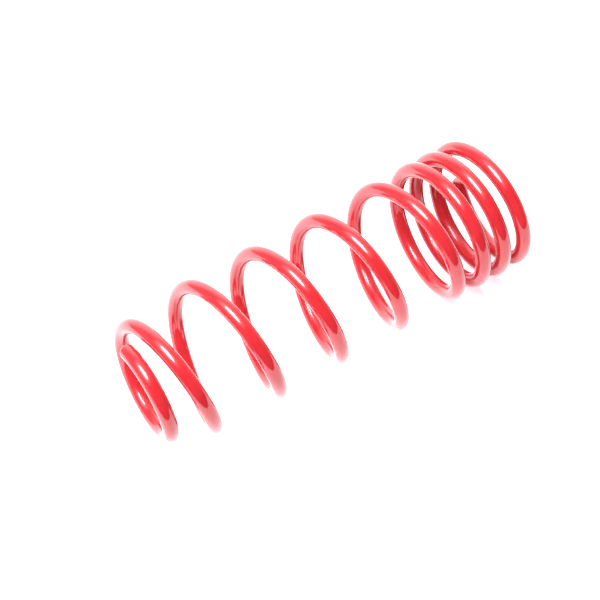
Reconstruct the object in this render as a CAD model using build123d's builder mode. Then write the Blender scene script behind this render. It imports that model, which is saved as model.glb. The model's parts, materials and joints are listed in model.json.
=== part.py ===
from build123d import *
import math
import os

# A progressive coil spring for a car's rear suspension, lying on its side.
# +X runs along the spring's axis from the pigtail end to the close-wound end, +Z is up.
# The origin is the centre of the box's underside.
# The wire is one piece of steel on the real spring. It is cut here by planes that hold the
# spring's axis, so that its coils can close up along X without running into each other.

# Wire and coils, in millimetres
WIRE_D = 11.6
BODY_RADIUS = 49.0          # of the wire's centre line, in the full-size coils
PIGTAIL_RADIUS = 35.1       # of the centre line at the pigtail's tip
LAST_RADIUS = 44.4          # of the centre line at the close-wound end's tip
TIP_LENGTH = 2.5
TIP_ROUNDING = 2.2

# Angles round the axis, in degrees: 0 is the top, 90 the front, 180 the bottom, 270 the back
FIRST_ANGLE = -20.0
LAST_ANGLE = 3122.0

# Turns are counted along the wire from where the pigtail passes the top.
# Each pair holds the turns over which one radius or pitch changes to the next.
PIGTAIL_GROWS = (-0.22, 1.60)
LAST_COIL_SHRINKS = (8.22, 8.68)

# Pitches in millimetres a turn
PIGTAIL_PITCH = 6.1
OPEN_PITCH = 53.8
CLOSE_PITCH = 19.1
OPENING_OUT = (0.30, 1.27)
CLOSING_UP = (4.86, 5.79)

# How the wire is divided into stretches
OPEN_COILS = 4
QUARTERS = ("top_front", "bottom_front", "bottom_back", "top_back")
QUARTERS_FROM_BACK = QUARTERS[3:] + QUARTERS[:3]
CLOSE_HALVES = ("bottom", "top")
CLOSE_HALF_TURNS = 5

# How the sweeps are made
ARC_UP_TO = 22.5            # degrees of wire in each arc of a centre line
OVERRUN = 6.0               # degrees of wire swept past each cut, and cut off again
CUTTER_WIDTH = 1.3 * WIRE_D


def share_of(turn, start, end):
    """How far turn has come from start to end, from 0 to 1."""
    return min(max((turn - start) / (end - start), 0.0), 1.0)


def eased(turn, start, end):
    """The share of start to end, made to start and end gently."""
    share = share_of(turn, start, end)
    return share * share * (3 - 2 * share)


def eased_travel(turn, start, end):
    """The eased share of start to end, added up along the wire as far as turn."""
    share = share_of(turn, start, end)
    return (end - start) * (share**3 - share**4 / 2) + max(turn - end, 0.0)


def advance(turn):
    """How far along the axis the wire has come at turn."""
    return (
        PIGTAIL_PITCH * turn
        + (OPEN_PITCH - PIGTAIL_PITCH) * eased_travel(turn, *OPENING_OUT)
        + (CLOSE_PITCH - OPEN_PITCH) * eased_travel(turn, *CLOSING_UP)
    )


def coil_radius(turn):
    """The radius of the centre line at turn."""
    return (
        PIGTAIL_RADIUS
        + (BODY_RADIUS - PIGTAIL_RADIUS) * eased(turn, *PIGTAIL_GROWS)
        - (BODY_RADIUS - LAST_RADIUS) * eased(turn, *LAST_COIL_SHRINKS)
    )


AXIS_HEIGHT = BODY_RADIUS + WIRE_D / 2
MIDDLE = (advance(FIRST_ANGLE / 360) + advance(LAST_ANGLE / 360)) / 2


def on_wire(angle):
    """The point of the centre line at angle."""
    turn = angle / 360
    radius = coil_radius(turn)
    return Vector(
        advance(turn) - MIDDLE,
        -radius * math.sin(math.radians(angle)),
        AXIS_HEIGHT + radius * math.cos(math.radians(angle)),
    )


def heading(angle):
    """The direction in which the wire runs at angle."""
    return (on_wire(angle + 0.01) - on_wire(angle - 0.01)).normalized()


def away_from_cut(angle):
    """The direction square to the cut at angle, the way the wire runs on."""
    return Vector(0, -math.cos(math.radians(angle)), -math.sin(math.radians(angle)))


def cut_off(angle, outward):
    """Takes away the overrun past the cut at angle, on the side that outward points to."""
    with Locations(Plane(origin=on_wire(angle), x_dir=(1, 0, 0), z_dir=outward)):
        Box(
            CUTTER_WIDTH,
            CUTTER_WIDTH,
            2 * BODY_RADIUS * math.radians(OVERRUN),
            align=(Align.CENTER, Align.CENTER, Align.MIN),
            mode=Mode.SUBTRACT,
        )


def add_tip(end_of_wire, outward):
    """Adds the plain cut tip of the wire, with its edge rounded."""
    with BuildSketch(Plane(origin=end_of_wire, z_dir=outward)) as section:
        Circle(WIRE_D / 2)
    tip = extrude(section.sketch, amount=TIP_LENGTH)
    rim = tip.edges().filter_by(GeomType.CIRCLE).sort_by_distance(end_of_wire)[-1]
    fillet(rim, TIP_ROUNDING)


def make_wire(node, start, end, tip_at=None):
    """Makes and writes the wire from the angle start to end, with a tip at start, end or neither."""
    swept_start = start if tip_at == "start" else start - OVERRUN
    swept_end = end if tip_at == "end" else end + OVERRUN
    arcs = math.ceil((swept_end - swept_start) / ARC_UP_TO)
    points = [on_wire(swept_start + (swept_end - swept_start) * i / arcs) for i in range(arcs + 1)]
    with BuildPart() as wire:
        with BuildLine() as line:
            direction = heading(swept_start)
            for arc_start, arc_end in zip(points, points[1:]):
                arc = TangentArc(arc_start, arc_end, tangent=direction)
                direction = arc % 1
        if tip_at == "start":
            add_tip(points[0], -heading(start))
        if tip_at == "end":
            add_tip(points[-1], direction)
        with BuildSketch(Plane(origin=points[0], z_dir=heading(swept_start))):
            Circle(WIRE_D / 2)
        sweep(path=line.line)
        if tip_at != "start":
            cut_off(start, -away_from_cut(start))
        if tip_at != "end":
            cut_off(end, away_from_cut(end))
    wire.part.label = node
    export_step(wire.part, f"parts/{node}.step")
    ring_length = 2 * math.pi * coil_radius((start + end) / 720) * (end - start) / 360
    share = wire.part.volume / (ring_length * math.pi * (WIRE_D / 2) ** 2)
    print(f"{node}: {wire.part.volume:.0f} mm3, {share:.3f} of the same arc of a flat ring")


os.makedirs("parts", exist_ok=True)

# The pigtail: the small first coil, which sits in the lower seat
make_wire("pigtail_tip", FIRST_ANGLE, 0, tip_at="start")
angle = 0
for quarter in QUARTERS:
    make_wire(f"pigtail_{quarter}", angle, angle + 90)
    angle += 90

# The open coils
for coil in range(1, OPEN_COILS + 1):
    for quarter in QUARTERS:
        make_wire(f"open_coil_{coil}_{quarter}", angle, angle + 90)
        angle += 90

# The quarter turn where the open pitch changes to the close one
make_wire("pitch_change_quarter", angle, angle + 90)
angle += 90

# The close coils, in half turns
for half in range(CLOSE_HALF_TURNS):
    make_wire(f"close_coil_{1 + half // 2}_{CLOSE_HALVES[half % 2]}", angle, angle + 180)
    angle += 180

# The last coil, which sits in the upper seat
for quarter in QUARTERS_FROM_BACK[:3]:
    make_wire(f"end_coil_{quarter}", angle, angle + 90)
    angle += 90
make_wire("end_coil_tip", angle, LAST_ANGLE, tip_at="end")
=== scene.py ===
"""A progressive suspension spring in gloss red powder coat, lying on a pale studio floor.

The wire is wound once, by Winding, and every stretch of it is made from that one helix. The
pigtail, the pitch change and the last coil are rigid. The open coils and the close coils are
short arcs. The points of a bend across each arc's slide are worked out, but nothing bends them.
All sizes are in metres and all angles round the spring's axis are in degrees: 0 is the top,
90 the front, 180 the bottom and 270 the back.
"""

import json
import logging
import math
from dataclasses import dataclass, field
from enum import Enum

import bmesh
import bpy
import numpy as np
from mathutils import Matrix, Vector

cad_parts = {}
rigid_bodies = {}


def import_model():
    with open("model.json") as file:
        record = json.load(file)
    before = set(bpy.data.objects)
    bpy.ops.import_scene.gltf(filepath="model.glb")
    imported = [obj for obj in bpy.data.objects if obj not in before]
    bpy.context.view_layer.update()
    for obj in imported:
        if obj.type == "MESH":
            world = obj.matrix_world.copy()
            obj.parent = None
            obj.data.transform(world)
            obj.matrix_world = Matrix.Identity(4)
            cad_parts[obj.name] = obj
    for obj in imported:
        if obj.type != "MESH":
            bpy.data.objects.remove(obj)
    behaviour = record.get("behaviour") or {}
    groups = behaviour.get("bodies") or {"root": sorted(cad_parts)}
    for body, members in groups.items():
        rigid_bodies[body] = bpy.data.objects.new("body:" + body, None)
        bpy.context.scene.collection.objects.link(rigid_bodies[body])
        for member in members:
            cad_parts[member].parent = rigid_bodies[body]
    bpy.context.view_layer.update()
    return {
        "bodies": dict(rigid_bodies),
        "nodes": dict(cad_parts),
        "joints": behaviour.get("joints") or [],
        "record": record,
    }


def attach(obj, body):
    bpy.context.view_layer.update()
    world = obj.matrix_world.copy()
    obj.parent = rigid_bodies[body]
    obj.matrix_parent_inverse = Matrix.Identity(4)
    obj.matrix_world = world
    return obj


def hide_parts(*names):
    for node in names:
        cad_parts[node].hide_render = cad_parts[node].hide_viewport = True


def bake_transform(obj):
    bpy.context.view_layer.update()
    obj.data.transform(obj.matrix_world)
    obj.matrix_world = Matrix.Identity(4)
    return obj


MM = 0.001
FULL_TURN = 360.0
HALF_TURN = 180.0
QUARTER_TURN = 90.0
ARC_SPAN = 45.0

log = logging.getLogger("coil_spring")


def share_of(turn: float, start: float, end: float) -> float:
    """Returns how far turn has come from start to end, from 0 to 1."""
    return min(max((turn - start) / (end - start), 0.0), 1.0)


def eased(turn: float, start: float, end: float) -> float:
    """Returns the share of start to end, made to start and end gently."""
    share = share_of(turn, start, end)
    return share * share * (3 - 2 * share)


def eased_travel(turn: float, start: float, end: float) -> float:
    """Returns the eased share of start to end, added up as far as turn."""
    share = share_of(turn, start, end)
    return (end - start) * (share**3 - share**4 / 2) + max(turn - end, 0.0)


def uneased(weight: float) -> float:
    """Returns the share of the way at which an eased share reaches weight."""
    return 0.5 - math.sin(math.asin(1 - 2 * min(max(weight, 0.0), 1.0)) / 3)


class Tip(Enum):
    """Which end of a stretch of wire is a cut tip, if either is."""

    NEITHER = "neither"
    START = "start"
    END = "end"


@dataclass(frozen=True)
class Winding:
    """The wound wire: its sizes, and where its centre line runs.

    Turns are counted along the wire from where the pigtail passes the top, and each pair of
    turns is where one radius or pitch changes to the next.
    """

    wire_radius: float = 5.8 * MM
    body_radius: float = 49.0 * MM
    pigtail_radius: float = 35.1 * MM
    last_radius: float = 44.4 * MM
    pigtail_grows: tuple[float, float] = (-0.22, 1.60)
    last_coil_shrinks: tuple[float, float] = (8.22, 8.68)
    pigtail_pitch: float = 6.1 * MM
    open_pitch: float = 53.8 * MM
    close_pitch: float = 19.1 * MM
    opening_out: tuple[float, float] = (0.30, 1.27)
    closing_up: tuple[float, float] = (4.86, 5.79)
    first_angle: float = -20.0
    last_angle: float = 3122.0

    @property
    def axis_height(self) -> float:
        """The height of the spring's axis over the floor."""
        return self.body_radius + self.wire_radius

    @property
    def middle(self) -> float:
        """The advance at which the spring's middle lies."""
        return (self.advance(self.first_angle / 360) + self.advance(self.last_angle / 360)) / 2

    def advance(self, turn: float) -> float:
        """Returns how far along the axis the wire has come at turn."""
        return (
            self.pigtail_pitch * turn
            + (self.open_pitch - self.pigtail_pitch) * eased_travel(turn, *self.opening_out)
            + (self.close_pitch - self.open_pitch) * eased_travel(turn, *self.closing_up)
        )

    def coil_radius(self, turn: float) -> float:
        """Returns the radius of the centre line at turn."""
        return (
            self.pigtail_radius
            + (self.body_radius - self.pigtail_radius) * eased(turn, *self.pigtail_grows)
            - (self.body_radius - self.last_radius) * eased(turn, *self.last_coil_shrinks)
        )

    def outward(self, angle: float) -> Vector:
        """Returns the direction from the axis to the wire at angle."""
        return Vector((0.0, -math.sin(math.radians(angle)), math.cos(math.radians(angle))))

    def centre(self, angle: float) -> Vector:
        """Returns the point of the centre line at angle."""
        turn = angle / 360
        on_axis = Vector((self.advance(turn) - self.middle, 0.0, self.axis_height))
        return on_axis + self.coil_radius(turn) * self.outward(angle)

    def heading(self, angle: float) -> Vector:
        """Returns the direction in which the wire runs at angle."""
        step = 0.01
        return (self.centre(angle + step) - self.centre(angle - step)).normalized()

    def length_at(self, angle: float) -> float:
        """Returns roughly how much wire there is from the pigtail's top to angle."""
        return self.body_radius * math.radians(angle)


@dataclass(frozen=True)
class PowderCoat:
    """The spring's finish: deep red powder under its own gloss, with a faint orange peel."""

    name: str = "gloss_red_powder_coat"
    red: tuple[float, float, float] = (0.455, 0.0190, 0.0255)
    thin_red: tuple[float, float, float] = (0.405, 0.0155, 0.0210)
    under_ior: float = 1.5
    under_roughness: float = 0.5
    gloss_ior: float = 1.55
    gloss_roughness: tuple[float, float] = (0.03, 0.06)
    cloud_size: float = 14 * MM
    grain_size: float = 1.1 * MM
    peel_size: float = 2.2 * MM
    peel_depth: float = 0.006 * MM
    nib_spacing: float = 9.0 * MM
    nib_size: float = 0.028
    nib_height: float = 0.03 * MM

    def material(self) -> bpy.types.Material:
        """Builds the finish.

        Returns:
            A material placed by the wire_place attribute, which runs along the wire.
        """
        material = bpy.data.materials.new(self.name)
        material.use_nodes = True
        nodes, links = material.node_tree.nodes, material.node_tree.links
        shader = nodes["Principled BSDF"]
        shader.inputs["IOR"].default_value = self.under_ior
        shader.inputs["Roughness"].default_value = self.under_roughness
        shader.inputs["Specular IOR Level"].default_value = 0.0
        shader.inputs["Coat Weight"].default_value = 1.0
        shader.inputs["Coat IOR"].default_value = self.gloss_ior

        place = nodes.new("ShaderNodeAttribute")
        place.attribute_name = "wire_place"

        cloud = self._noise(nodes, links, place, 1 / self.cloud_size, 3.0)
        tint = nodes.new("ShaderNodeMix")
        tint.data_type = "RGBA"
        tint.inputs[6].default_value = (*self.thin_red, 1.0)
        tint.inputs[7].default_value = (*self.red, 1.0)
        spread = self._spread(nodes, links, cloud, (0.3, 0.6), (0.0, 1.0))
        links.new(spread, tint.inputs[0])
        links.new(tint.outputs[2], shader.inputs["Base Color"])

        grain = self._noise(nodes, links, place, 1 / self.grain_size, 2.0)
        gloss = self._spread(nodes, links, grain, (0.3, 0.7), self.gloss_roughness)
        links.new(gloss, shader.inputs["Coat Roughness"])

        peel = self._noise(nodes, links, place, 1 / self.peel_size, 1.0)
        nibs = nodes.new("ShaderNodeTexVoronoi")
        nibs.inputs["Scale"].default_value = 1 / self.nib_spacing
        links.new(place.outputs["Vector"], nibs.inputs["Vector"])
        nib = self._spread(nodes, links, nibs.outputs["Distance"], (0.0, self.nib_size), (1.0, 0.0))
        peel_bump = self._bump(nodes, links, peel, self.peel_depth, None)
        nib_bump = self._bump(nodes, links, nib, self.nib_height, peel_bump)
        links.new(nib_bump, shader.inputs["Normal"])
        links.new(nib_bump, shader.inputs["Coat Normal"])
        return material

    @staticmethod
    def _noise(
        nodes: bpy.types.Nodes,
        links: bpy.types.NodeLinks,
        place: bpy.types.Node,
        scale: float,
        detail: float,
    ) -> bpy.types.NodeSocket:
        """Returns a noise along the wire, of the given scale per metre and detail."""
        noise = nodes.new("ShaderNodeTexNoise")
        noise.inputs["Scale"].default_value = scale
        noise.inputs["Detail"].default_value = detail
        links.new(place.outputs["Vector"], noise.inputs["Vector"])
        return noise.outputs["Fac"]

    @staticmethod
    def _spread(
        nodes: bpy.types.Nodes,
        links: bpy.types.NodeLinks,
        value: bpy.types.NodeSocket,
        source: tuple[float, float],
        target: tuple[float, float],
    ) -> bpy.types.NodeSocket:
        """Returns value, with the range source spread smoothly over the range target."""
        spread = nodes.new("ShaderNodeMapRange")
        spread.interpolation_type = "SMOOTHSTEP"
        for socket, number in zip(spread.inputs[1:5], (*source, *target)):
            socket.default_value = number
        links.new(value, spread.inputs["Value"])
        return spread.outputs["Result"]

    @staticmethod
    def _bump(
        nodes: bpy.types.Nodes,
        links: bpy.types.NodeLinks,
        height: bpy.types.NodeSocket,
        depth: float,
        below: bpy.types.NodeSocket | None,
    ) -> bpy.types.NodeSocket:
        """Returns the normal of a relief of that depth, on top of the normal below."""
        bump = nodes.new("ShaderNodeBump")
        bump.inputs["Distance"].default_value = depth
        links.new(height, bump.inputs["Height"])
        if below is not None:
            links.new(below, bump.inputs["Normal"])
        return bump.outputs["Normal"]


@dataclass(frozen=True)
class LitAcrylic:
    """The floor's finish: a sheet of white acrylic, lit faintly from below, with a fine tooth."""

    name: str = "backlit_white_acrylic"
    white: tuple[float, float, float] = (0.93, 0.925, 0.94)
    shade: tuple[float, float, float] = (0.90, 0.895, 0.92)
    lit: tuple[float, float, float] = (0.97, 0.90, 1.0)
    glow: float = 0.55
    roughness: float = 0.9
    specular_level: float = 0.15
    tooth: float = 0.4 * MM

    def material(self) -> bpy.types.Material:
        """Builds and returns the finish."""
        material = bpy.data.materials.new(self.name)
        material.use_nodes = True
        nodes, links = material.node_tree.nodes, material.node_tree.links
        shader = nodes["Principled BSDF"]
        shader.inputs["Roughness"].default_value = self.roughness
        shader.inputs["Specular IOR Level"].default_value = self.specular_level
        shader.inputs["Emission Color"].default_value = (*self.lit, 1.0)
        shader.inputs["Emission Strength"].default_value = self.glow
        place = nodes.new("ShaderNodeTexCoord")
        noise = nodes.new("ShaderNodeTexNoise")
        noise.inputs["Scale"].default_value = 1 / self.tooth
        links.new(place.outputs["Object"], noise.inputs["Vector"])
        tint = nodes.new("ShaderNodeMix")
        tint.data_type = "RGBA"
        tint.inputs[6].default_value = (*self.shade, 1.0)
        tint.inputs[7].default_value = (*self.white, 1.0)
        links.new(noise.outputs["Fac"], tint.inputs[0])
        links.new(tint.outputs[2], shader.inputs["Base Color"])
        return material


@dataclass
class WireStretch:
    """One piece of the wire, from the angle start to end: a tube, open where it isn't a tip."""

    winding: Winding
    name: str
    start: float
    end: float
    tip: Tip = Tip.NEITHER
    ring_every: float = 2.0
    ring_points: int = 48
    tip_length: float = 2.5 * MM
    tip_rounding: float = 2.2 * MM
    rounding_steps: int = 7
    face_rings: tuple[float, ...] = (0.72, 0.45, 0.2)
    face_dish: float = 0.18 * MM
    rings: list = field(default_factory=list)

    def build(self, coat: bpy.types.Material) -> bpy.types.Object:
        """Makes the piece.

        Args:
            coat: The material it gets.

        Returns:
            The new object, with a wire_place attribute and exact normals.
        """
        self._lay_rings()
        mesh = self._skin()
        mesh.materials.append(coat)
        piece = bpy.data.objects.new(self.name, mesh)
        bpy.context.scene.collection.objects.link(piece)
        log.info("%s: %d vertices", self.name, len(mesh.vertices))
        return piece

    def _lay_rings(self) -> None:
        """Works out every ring: its centre, its radius, its frame and how far its normal tilts."""
        count = max(round((self.end - self.start) / self.ring_every), 1)
        angles = [self.start + (self.end - self.start) * i / count for i in range(count + 1)]
        body = [self._ring(angle, 0.0, self.winding.wire_radius, 0.0) for angle in angles]
        if self.tip is Tip.START:
            body = self._tip_rings(self.start, -1)[::-1] + body
        elif self.tip is Tip.END:
            body = body + self._tip_rings(self.end, 1)
        self.rings = body

    def _tip_rings(self, angle: float, way: int) -> list:
        """Lays the rings of a cut tip, from the wire out to the middle of its face.

        Args:
            angle: Where the wire ends.
            way: 1 if the tip points the way the wire runs, -1 if it points back.

        Returns:
            The rings, of which the last is close to the middle of the face.
        """
        full, rounding = self.winding.wire_radius, self.tip_rounding
        flat = self.tip_length - rounding
        rings = []
        for step in range(self.rounding_steps + 1):
            bend = math.pi / 2 * step / self.rounding_steps
            radius = full - rounding * (1 - math.cos(bend))
            beyond = way * (flat + rounding * math.sin(bend))
            rings.append(self._ring(angle, beyond, radius, way * bend))
        for share in self.face_rings:
            sunk = self.face_dish * (1 - share) ** 2
            radius = share * (full - rounding)
            beyond = way * (self.tip_length - sunk)
            rings.append(self._ring(angle, beyond, radius, way * math.pi / 2))
        return rings

    def _ring(self, angle: float, beyond: float, radius: float, tilt: float) -> tuple:
        """Returns one ring: its centre, its three directions, its radius, tilt and place."""
        heading = self.winding.heading(angle)
        outward = self.winding.outward(angle)
        outward = (outward - outward.dot(heading) * heading).normalized()
        side = heading.cross(outward)
        centre = self.winding.centre(angle) + beyond * heading
        return centre, outward, side, heading, radius, tilt, self.winding.length_at(angle) + beyond

    def _skin(self) -> bpy.types.Mesh:
        """Joins the rings with faces, closes a tip, and stores each point's normal and place."""
        skin = bmesh.new()
        normals, places, loops = [], [], []
        for centre, outward, side, heading, radius, tilt, length in self.rings:
            loop = []
            for i in range(self.ring_points):
                round_wire = 2 * math.pi * i / self.ring_points
                arm = math.cos(round_wire) * outward + math.sin(round_wire) * side
                loop.append(skin.verts.new(centre + radius * arm))
                normals.append(math.cos(tilt) * arm + math.sin(tilt) * heading)
                across = (radius * math.cos(round_wire), radius * math.sin(round_wire))
                places.append((*across, length))
            loops.append(loop)
        for near, far in zip(loops, loops[1:]):
            for i in range(self.ring_points):
                j = (i + 1) % self.ring_points
                skin.faces.new((near[i], near[j], far[j], far[i]))
        if self.tip is Tip.START:
            skin.faces.new(loops[0][::-1])
        elif self.tip is Tip.END:
            skin.faces.new(loops[-1])
        for face in skin.faces:
            face.smooth = True
        mesh = bpy.data.meshes.new(self.name)
        skin.to_mesh(mesh)
        skin.free()
        place = mesh.attributes.new("wire_place", "FLOAT_VECTOR", "POINT")
        place.data.foreach_set("vector", np.array(places, np.float32).ravel())
        mesh.normals_split_custom_set_from_vertices([tuple(normal) for normal in normals])
        return mesh


@dataclass
class RigidCoil:
    """A stretch of wire that keeps its shape, rides one body and stands for its nodes."""

    winding: Winding
    name: str
    body: str
    start: float
    end: float
    tip: Tip = Tip.NEITHER

    def build(self, frame: dict, coat: bpy.types.Material) -> None:
        """Makes the coil and puts it in place of the body's own nodes."""
        stretch = WireStretch(self.winding, self.name, self.start, self.end, self.tip)
        piece = stretch.build(coat)
        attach(piece, self.body)
        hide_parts(*frame["record"]["behaviour"]["bodies"][self.body])


@dataclass
class SpringyCoils:
    """The coils between two rigid ends, as short arcs, each with its share of the travel between
    them worked out.

    The share grows gently over the first arc and comes to rest gently over the last, and is
    even in between. Nothing bends the arcs by their shares. If they were bent, two arcs that
    met would agree on the centre line only, so the wire's inner and outer edges would step
    slightly at each join when the spring is compressed.
    """

    winding: Winding
    nodes: list[str]
    start: float
    node_span: float
    arc_span: float
    from_body: str
    to_body: str

    def build(self, coat: bpy.types.Material) -> None:
        """Makes the arcs of every node in its place, and works out each arc's shares and bend
        points without bending it.
        """
        per_node = round(self.node_span / self.arc_span)
        arcs = per_node * len(self.nodes)
        for index in range(arcs):
            node = self.nodes[index // per_node]
            near = self.start + index * self.arc_span
            stretch = WireStretch(
                self.winding, f"{node}_wire_{index % per_node + 1}", near, near + self.arc_span
            )
            piece = stretch.build(coat)
            weights = (self._share(index, arcs), self._share(index + 1, arcs))
            start, end = self._bend_points(stretch, *weights)
            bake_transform(piece)
            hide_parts(node)

    @staticmethod
    def _share(index: int, arcs: int) -> float:
        """Returns the share of the travel at the near end of an arc.

        Args:
            index: The arc, counted from 0, or arcs for the far end of the last one.
            arcs: How many arcs there are.

        Returns:
            The share, eased over one arc at each end.
        """
        even = 1 / (arcs - 1)
        if index == 0:
            return 0.0
        if index == arcs:
            return 1.0
        return even * (index - 0.5)

    def _bend_points(self, stretch: WireStretch, near: float, far: float) -> tuple:
        """Finds the two points between which a blend would give the arc its shares of the travel.

        Args:
            stretch: The arc.
            near: The share at its start.
            far: The share at its end.

        Returns:
            The start and end points of such a blend, square to the axis so that a bent wire would
            stay round.
        """
        first = self.winding.centre(stretch.start)
        last = self.winding.centre(stretch.end)
        first.x = last.x = 0.0
        chord = last - first
        low, high = uneased(near), uneased(far)
        reach = chord / (high - low)
        start = first - low * reach
        return tuple(start), tuple(start + reach)


@dataclass(frozen=True)
class SoftLight:
    """A softbox: a glowing panel aimed at the spring."""

    name: str
    azimuth: float
    elevation: float
    distance: float
    size: tuple[float, float]
    radiance: float

    def build(self, target: Vector) -> None:
        """Hangs the light and aims it at target."""
        light = bpy.data.lights.new(self.name, "AREA")
        light.shape = "ELLIPSE"
        light.size, light.size_y = self.size
        light.energy = self.radiance * math.pi * math.pi / 4 * self.size[0] * self.size[1]
        holder = bpy.data.objects.new(self.name, light)
        away = direction(self.azimuth, self.elevation)
        holder.location = target + self.distance * away
        holder.rotation_euler = (-away).to_track_quat("-Z", "Y").to_euler()
        holder.visible_camera = False
        bpy.context.scene.collection.objects.link(holder)


def direction(azimuth: float, elevation: float) -> Vector:
    """Returns the direction at azimuth, from +Y towards +X, and elevation, in degrees."""
    side, up = math.radians(azimuth), math.radians(elevation)
    return Vector((math.sin(side) * math.cos(up), math.cos(side) * math.cos(up), math.sin(up)))


@dataclass(frozen=True)
class Glow:
    """A soft patch of brightness on the studio's walls or ceiling.

    It is full within inner degrees of its direction and gone at outer degrees.
    """

    azimuth: float
    elevation: float
    radiance: float
    inner: float
    outer: float


class Walls(Enum):
    """The patches of brightness that the gloss mirrors, apart from the softbox."""

    BACKDROP = Glow(24.0, -4.0, 2.75, 22.0, 66.0)
    CEILING = Glow(40.0, 55.0, 0.9, 10.0, 60.0)
    RIGHT_WALL = Glow(88.0, -5.0, 0.6, 10.0, 55.0)
    LEFT_WALL = Glow(-72.0, 8.0, 0.6, 20.0, 60.0)
    SOFTBOX_SPILL = Glow(-88.0, 64.0, 4.0, 10.0, 34.0)
    ZENITH = Glow(0.0, 88.0, 2.6, 8.0, 34.0)


@dataclass
class Studio:
    """The floor, the light and the camera."""

    aim: Vector = field(default_factory=lambda: Vector((-0.019, 0.0046, 0.05)))
    camera_azimuth: float = -146.65
    camera_elevation: float = 55.78
    camera_distance: float = 1.0287
    lens: float = 83.08
    floor_half: float = 0.6
    floor_front: float = 0.30
    floor_drop: float = 0.1 * MM
    room_glow: float = 0.05
    seen_glow: float = 1.2

    def build(self, acrylic: bpy.types.Material) -> None:
        """Sets up the whole studio."""
        self._floor(acrylic)
        self._room()
        softbox = SoftLight("overhead_softbox", -95.0, 73.0, 1.6, (0.92, 0.92), 20.5)
        softbox.build(self.aim)
        self._camera()
        bpy.context.scene.view_settings.view_transform = "Standard"

    def _floor(self, acrylic: bpy.types.Material) -> None:
        """Lays the floor just under the spring, square to the camera, its front edge near."""
        sheet = bmesh.new()
        bmesh.ops.create_grid(sheet, x_segments=24, y_segments=24, size=self.floor_half)
        mesh = bpy.data.meshes.new("studio_floor")
        sheet.to_mesh(mesh)
        sheet.free()
        mesh.materials.append(acrylic)
        floor = bpy.data.objects.new("studio_floor", mesh)
        back = -direction(self.camera_azimuth, 0.0) * (self.floor_half - self.floor_front)
        floor.location = (self.aim.x + back.x, self.aim.y + back.y, -self.floor_drop)
        floor.rotation_euler = (0.0, 0.0, -math.radians(self.camera_azimuth))
        bpy.context.scene.collection.objects.link(floor)

    def _room(self) -> None:
        """Makes the room: dim, with the patches of Walls, and plain white to the camera."""
        world = bpy.data.worlds.new("studio_room")
        bpy.context.scene.world = world
        world.use_nodes = True
        nodes, links = world.node_tree.nodes, world.node_tree.links
        background = nodes["Background"]
        place = nodes.new("ShaderNodeTexCoord")
        total = nodes.new("ShaderNodeValue")
        total.outputs[0].default_value = self.room_glow
        brightness = total.outputs[0]
        for patch in Walls:
            glow = patch.value
            towards = nodes.new("ShaderNodeVectorMath")
            towards.operation = "DOT_PRODUCT"
            towards.inputs[1].default_value = direction(glow.azimuth, glow.elevation)
            links.new(place.outputs["Generated"], towards.inputs[0])
            apart = nodes.new("ShaderNodeMath")
            apart.operation = "ARCCOSINE"
            links.new(towards.outputs["Value"], apart.inputs[0])
            fade = nodes.new("ShaderNodeMapRange")
            fade.interpolation_type = "SMOOTHSTEP"
            limits = (math.radians(glow.outer), math.radians(glow.inner), 0.0, glow.radiance)
            for socket, number in zip(fade.inputs[1:5], limits):
                socket.default_value = number
            links.new(apart.outputs[0], fade.inputs["Value"])
            adding = nodes.new("ShaderNodeMath")
            links.new(brightness, adding.inputs[0])
            links.new(fade.outputs["Result"], adding.inputs[1])
            brightness = adding.outputs[0]
        path = nodes.new("ShaderNodeLightPath")
        seen = nodes.new("ShaderNodeMix")
        seen.inputs[3].default_value = self.seen_glow
        links.new(path.outputs["Is Camera Ray"], seen.inputs[0])
        links.new(brightness, seen.inputs[2])
        links.new(seen.outputs[0], background.inputs["Strength"])
        background.inputs["Color"].default_value = (1.0, 1.0, 1.0, 1.0)

    def _camera(self) -> None:
        """Stands the camera over the near end of the spring."""
        camera = bpy.data.cameras.new("camera")
        camera.lens = self.lens
        camera.sensor_width = 36.0
        away = direction(self.camera_azimuth, self.camera_elevation)
        stand = bpy.data.objects.new("camera", camera)
        stand.location = self.aim + self.camera_distance * away
        stand.rotation_euler = (-away).to_track_quat("-Z", "Y").to_euler()
        bpy.context.scene.collection.objects.link(stand)
        bpy.context.scene.camera = stand


def main() -> None:
    """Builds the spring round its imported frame, then the studio."""
    logging.basicConfig(level=logging.INFO, format="%(name)s: %(message)s")
    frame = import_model()
    winding = Winding()
    coat = PowderCoat().material()
    bodies = list(frame["record"]["behaviour"]["bodies"])
    open_nodes = [name for name in bodies if name.startswith("open_coil")]
    close_nodes = [name for name in bodies if name.startswith("close_coil")]

    open_start = FULL_TURN
    change_start = open_start + QUARTER_TURN * len(open_nodes)
    close_start = change_start + QUARTER_TURN
    end_start = close_start + HALF_TURN * len(close_nodes)

    pigtail = RigidCoil(
        winding, "pigtail_coil_wire", "pigtail_end", winding.first_angle, open_start, Tip.START
    )
    pigtail.build(frame, coat)
    open_coils = SpringyCoils(
        winding, open_nodes, open_start, QUARTER_TURN, ARC_SPAN, "pigtail_end", "pitch_change"
    )
    open_coils.build(coat)
    change = RigidCoil(
        winding, "pitch_change_wire", "pitch_change", change_start, close_start
    )
    change.build(frame, coat)
    close_coils = SpringyCoils(
        winding, close_nodes, close_start, HALF_TURN, ARC_SPAN, "pitch_change", "close_end"
    )
    close_coils.build(coat)
    last = RigidCoil(winding, "end_coil_wire", "close_end", end_start, winding.last_angle, Tip.END)
    last.build(frame, coat)

    Studio().build(LitAcrylic().material())


if __name__ == "__main__":
    main()
